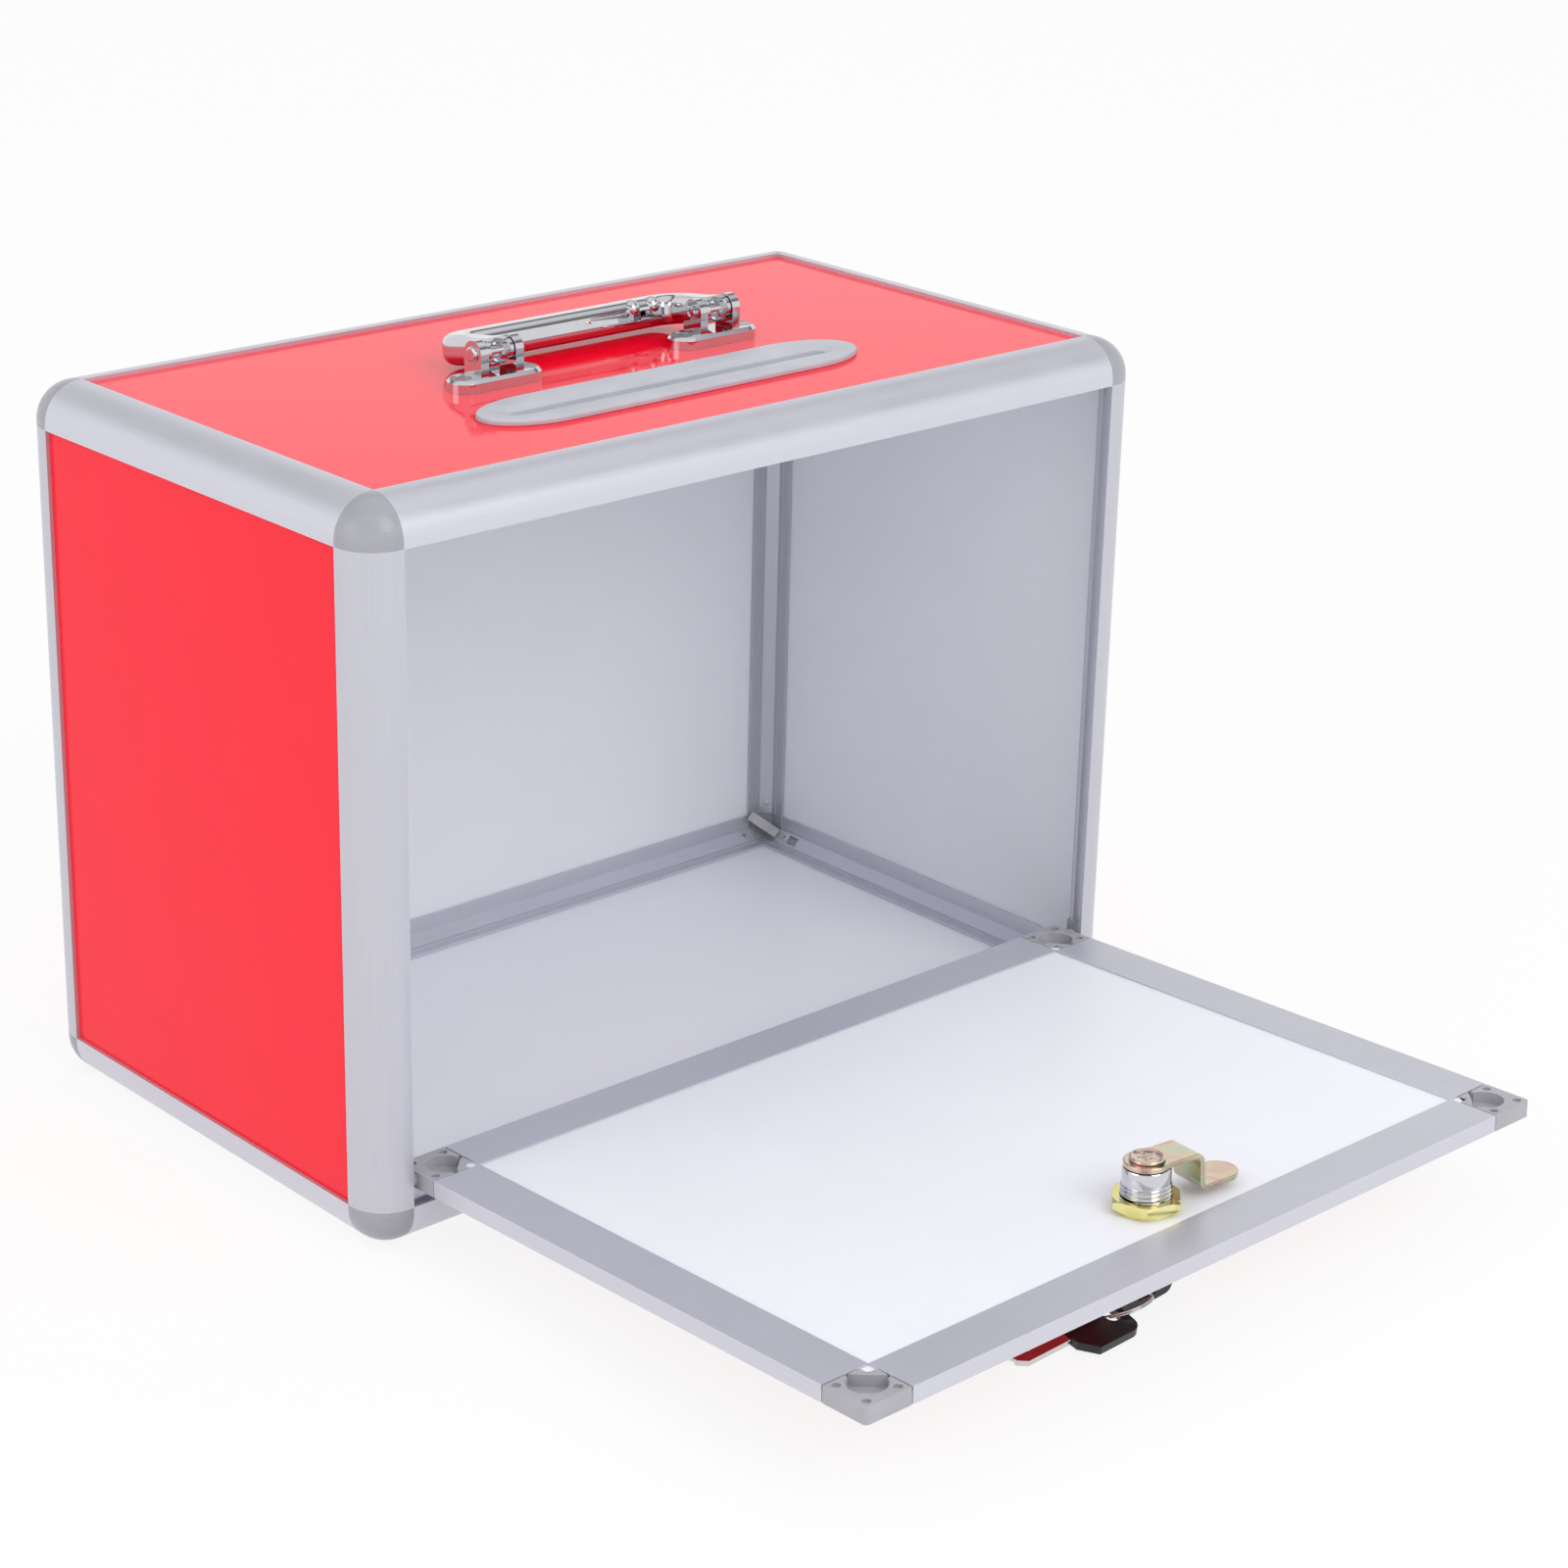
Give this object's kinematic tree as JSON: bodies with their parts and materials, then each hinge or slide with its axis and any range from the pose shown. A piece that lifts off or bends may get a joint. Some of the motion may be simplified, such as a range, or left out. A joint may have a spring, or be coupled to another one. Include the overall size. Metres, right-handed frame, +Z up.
{
  "type": "ballot box",
  "caption": "Desk-top ballot box: red panels in rounded aluminium edge rails, a drop-down front door with a cam lock and keys, a folding chrome handle and a ballot slot.",
  "frame": {"origin": "on the floor, under the middle of everything's footprint, the open door included", "axes": "+X to the box's right seen from its door side, +Y from the open door to the back, +Z up"},
  "size_m": [0.35, 0.41, 0.2734],
  "materials": {
    "rail_bottom_front": "satin anodised",
    "rail_bottom_rear": "satin anodised",
    "rail_bottom_left": "satin anodised",
    "rail_bottom_right": "satin anodised",
    "rail_top_front": "satin anodised",
    "rail_top_rear": "satin anodised",
    "rail_top_left": "satin anodised",
    "rail_top_right": "satin anodised",
    "post_front_left": "satin anodised",
    "post_front_right": "satin anodised",
    "post_rear_left": "satin anodised",
    "post_rear_right": "satin anodised",
    "corner_bottom_front_left": "grey moulded plastic",
    "corner_bottom_front_right": "grey moulded plastic",
    "corner_bottom_rear_left": "grey moulded plastic",
    "corner_bottom_rear_right": "grey moulded plastic",
    "corner_top_front_left": "grey moulded plastic",
    "corner_top_front_right": "grey moulded plastic",
    "corner_top_rear_left": "grey moulded plastic",
    "corner_top_rear_right": "grey moulded plastic",
    "corner_rivets": "plain",
    "panel_left": "gloss red outside, pale grey-white inside",
    "panel_right": "gloss red outside, pale grey-white inside",
    "panel_rear": "gloss red outside, pale grey-white inside",
    "panel_bottom": "gloss red outside, pale grey-white inside",
    "panel_top": "gloss red outside, pale grey-white inside",
    "hinge_bush_left": "moulded",
    "hinge_bush_right": "moulded",
    "door_stop_left": "moulded",
    "door_stop_right": "moulded",
    "handle_bracket_left": "polished",
    "handle_bracket_right": "polished",
    "handle_pins": "polished",
    "handle_screws": "countersunk",
    "handle_nuts": "zinc plated",
    "slot_plate": "grey moulded plastic, its lettering left bare",
    "slot_retainer": "grey moulded plastic",
    "handle_grip": "polished",
    "door_rail_left": "satin anodised",
    "door_rail_right": "satin anodised",
    "door_rail_top": "satin anodised",
    "door_rail_bottom": "satin anodised",
    "door_corner_bottom_left": "grey moulded plastic",
    "door_corner_bottom_right": "grey moulded plastic",
    "door_corner_top_left": "grey moulded plastic",
    "door_corner_top_right": "grey moulded plastic",
    "door_hinge_pin_left": "plain steel",
    "door_hinge_pin_right": "plain steel",
    "door_panel": "gloss red outside, pale grey-white inside",
    "lock_body": "polished",
    "lock_nut": "yellow zinc plated",
    "lock_plug": "polished",
    "lock_cam": "yellow zinc plated",
    "cam_screw": "yellow zinc plated",
    "key_head": "black moulded plastic",
    "key_blade": "nickel plated",
    "key_ring": "bright wire",
    "spare_key_head": "black moulded plastic",
    "spare_key_blade": "nickel plated"
  },
  "bodies": {
    "case": {"rail_bottom_front": "rail_bottom_front", "rail_bottom_rear": "rail_bottom_rear", "rail_bottom_left": "rail_bottom_left", "rail_bottom_right": "rail_bottom_right", "rail_top_front": "rail_top_front", "rail_top_rear": "rail_top_rear", "rail_top_left": "rail_top_left", "rail_top_right": "rail_top_right", "post_front_left": "post_front_left", "post_front_right": "post_front_right", "post_rear_left": "post_rear_left", "post_rear_right": "post_rear_right", "corner_bottom_front_left": "corner_bottom_front_left", "corner_bottom_front_right": "corner_bottom_front_right", "corner_bottom_rear_left": "corner_bottom_rear_left", "corner_bottom_rear_right": "corner_bottom_rear_right", "corner_top_front_left": "corner_top_front_left", "corner_top_front_right": "corner_top_front_right", "corner_top_rear_left": "corner_top_rear_left", "corner_top_rear_right": "corner_top_rear_right", "corner_rivets": "corner_rivets", "panel_left": "panel_left", "panel_right": "panel_right", "panel_rear": "panel_rear", "panel_bottom": "panel_bottom", "panel_top": "panel_top", "hinge_bush_left": "hinge_bush_left", "hinge_bush_right": "hinge_bush_right", "door_stop_left": "door_stop_left", "door_stop_right": "door_stop_right", "handle_bracket_left": "handle_bracket_left", "handle_bracket_right": "handle_bracket_right", "handle_pins": "handle_pins", "handle_screws": "handle_screws", "handle_nuts": "handle_nuts", "slot_plate": "slot_plate", "slot_retainer": "slot_retainer"},
    "handle": {"handle_grip": "handle_grip"},
    "door": {"door_rail_left": "door_rail_left", "door_rail_right": "door_rail_right", "door_rail_top": "door_rail_top", "door_rail_bottom": "door_rail_bottom", "door_corner_bottom_left": "door_corner_bottom_left", "door_corner_bottom_right": "door_corner_bottom_right", "door_corner_top_left": "door_corner_top_left", "door_corner_top_right": "door_corner_top_right", "door_hinge_pin_left": "door_hinge_pin_left", "door_hinge_pin_right": "door_hinge_pin_right", "door_panel": "door_panel", "lock_body": "lock_body", "lock_nut": "lock_nut"},
    "lock_cylinder": {"lock_plug": "lock_plug", "lock_cam": "lock_cam", "cam_screw": "cam_screw"},
    "key": {"key_head": "key_head", "key_blade": "key_blade"},
    "split_ring": {"key_ring": "key_ring"},
    "spare_key": {"spare_key_head": "spare_key_head", "spare_key_blade": "spare_key_blade"}
  },
  "joints": [
    {"name": "handle_swing", "type": "hinge", "parent": "case", "child": "handle", "pos_m": [0, 0.10366, 0.2686], "axis": [1, 0, 0], "range_deg": [0, 95]},
    {"name": "door_hinge", "type": "hinge", "parent": "case", "child": "door", "pos_m": [0, 0.01236, 0.0238], "axis": [1, 0, 0], "range_deg": [-87.51, 0]},
    {"name": "lock_turn", "type": "hinge", "parent": "door", "child": "lock_cylinder", "pos_m": [0, -0.1705, 0.03104], "axis": [0, -0.0434, -0.9991], "range_deg": [0, 83]},
    {"name": "key_pull", "type": "slide", "parent": "lock_cylinder", "child": "key", "axis": [0, -0.0434, -0.9991], "range_m": [0, 0.03]},
    {"name": "ring_swing", "type": "hinge", "parent": "key", "child": "split_ring", "pos_m": [-0.0028, -0.17184, 0.0049], "axis": [-0.1928, 0.9069, -0.3746], "range_deg": [0, 25]},
    {"name": "spare_key_turn", "type": "hinge", "parent": "split_ring", "child": "spare_key", "pos_m": [-0.01297, -0.174, 0.0049], "axis": [-0.0779, 0.3664, 0.9272], "range_deg": [0, 40]}
  ]
}
